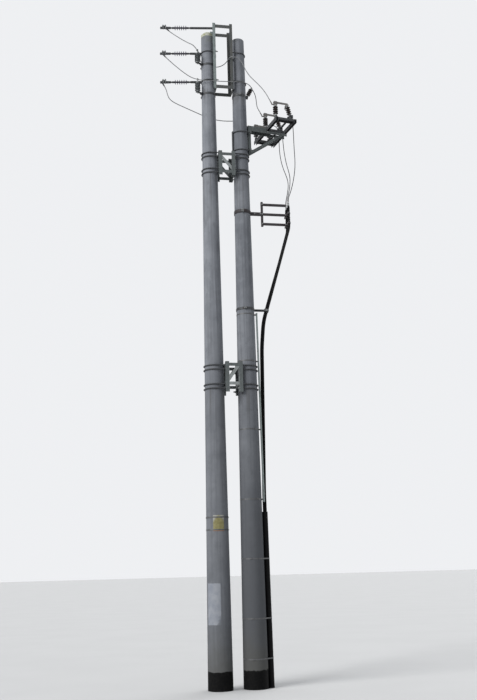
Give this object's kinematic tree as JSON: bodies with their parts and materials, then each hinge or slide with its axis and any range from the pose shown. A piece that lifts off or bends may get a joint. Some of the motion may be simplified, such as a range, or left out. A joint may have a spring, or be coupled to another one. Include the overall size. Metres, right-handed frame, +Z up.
{
  "type": "twin concrete utility pole",
  "caption": "Pair of tapered concrete columns joined by steel frames, with dead-end insulators, arresters, a pole-top disconnector and a guarded cable drop.",
  "frame": {"origin": "centre of the left column's foot face at ground level", "axes": "+Z up along the columns; +X from the left column to the right one, away from the line; +Y away from the side that is looked at"},
  "size_m": [2.3104, 1.0636, 11.093],
  "materials": {
    "aluminium": "bare stranded aluminium",
    "black_plastic": "weathered black polyethylene",
    "cap_moss": "mossy cement",
    "concrete": "spun concrete, weathered",
    "contact_metal": "tinned copper, dull",
    "dark_steel": "weathered dark steel",
    "galvanised": "hot-dip galvanised, dull",
    "glaze_brown": "dark glazed porcelain",
    "polymer_dark": "silicone sheds",
    "polymer_grey": "grey silicone sheds",
    "sign_plate": "faded enamel",
    "strap_steel": "stainless strap"
  },
  "bodies": {
    "pole": {"arrester_1": "polymer_grey", "arrester_2": "polymer_grey", "arrester_holder_1": "dark_steel", "arrester_holder_2": "dark_steel", "cable_bracket": "dark_steel", "cable_frame": "dark_steel", "cable_frame_arm": "dark_steel", "cable_guard": "black_plastic", "cable_phase_1": "black_plastic", "cable_phase_2": "black_plastic", "cable_phase_3": "black_plastic", "cable_rail": "galvanised", "cable_terminations": "black_plastic", "fixed_contacts": "contact_metal", "fixed_insulators": "glaze_brown", "guard_straps": "strap_steel", "head_frame": "galvanised", "head_frame_ubolts": "dark_steel", "jumper_line_lower": "aluminium", "jumper_line_middle": "aluminium", "jumper_line_top": "aluminium", "jumper_post": "glaze_brown", "jumper_post_bracket": "dark_steel", "lead_1": "aluminium", "lead_2": "aluminium", "lead_3": "aluminium", "left_column": "concrete", "left_column_cap": "cap_moss", "lower_anchor_bolt": "dark_steel", "lower_brace": "galvanised", "lower_brace_ubolts": "dark_steel", "lower_insulator": "polymer_dark", "lower_line_clamp": "dark_steel", "lower_link": "dark_steel", "middle_anchor_bolt": "dark_steel", "middle_insulator": "polymer_dark", "middle_line_clamp": "dark_steel", "middle_link": "dark_steel", "rail_straps": "strap_steel", "right_column": "concrete", "right_column_cap": "concrete", "sign_plate": "sign_plate", "sign_straps": "strap_steel", "switch_base": "dark_steel", "switch_bearings": "dark_steel", "switch_bracket": "dark_steel", "switch_bracket_ubolts": "dark_steel", "top_insulator": "polymer_dark", "top_line_clamp": "dark_steel", "top_link": "dark_steel", "upper_brace": "galvanised", "upper_brace_ubolts": "dark_steel"},
    "rocker": {"switch_shaft": "dark_steel", "moving_insulators": "glaze_brown", "switch_blades": "contact_metal"}
  },
  "joints": [
    {"name": "switch_tilt", "type": "hinge", "parent": "pole", "child": "rocker", "pos_m": [1.2917, 0.14203, 9.278], "axis": [-0.1857, 0.9826, 0], "range_deg": [0, 55]}
  ]
}
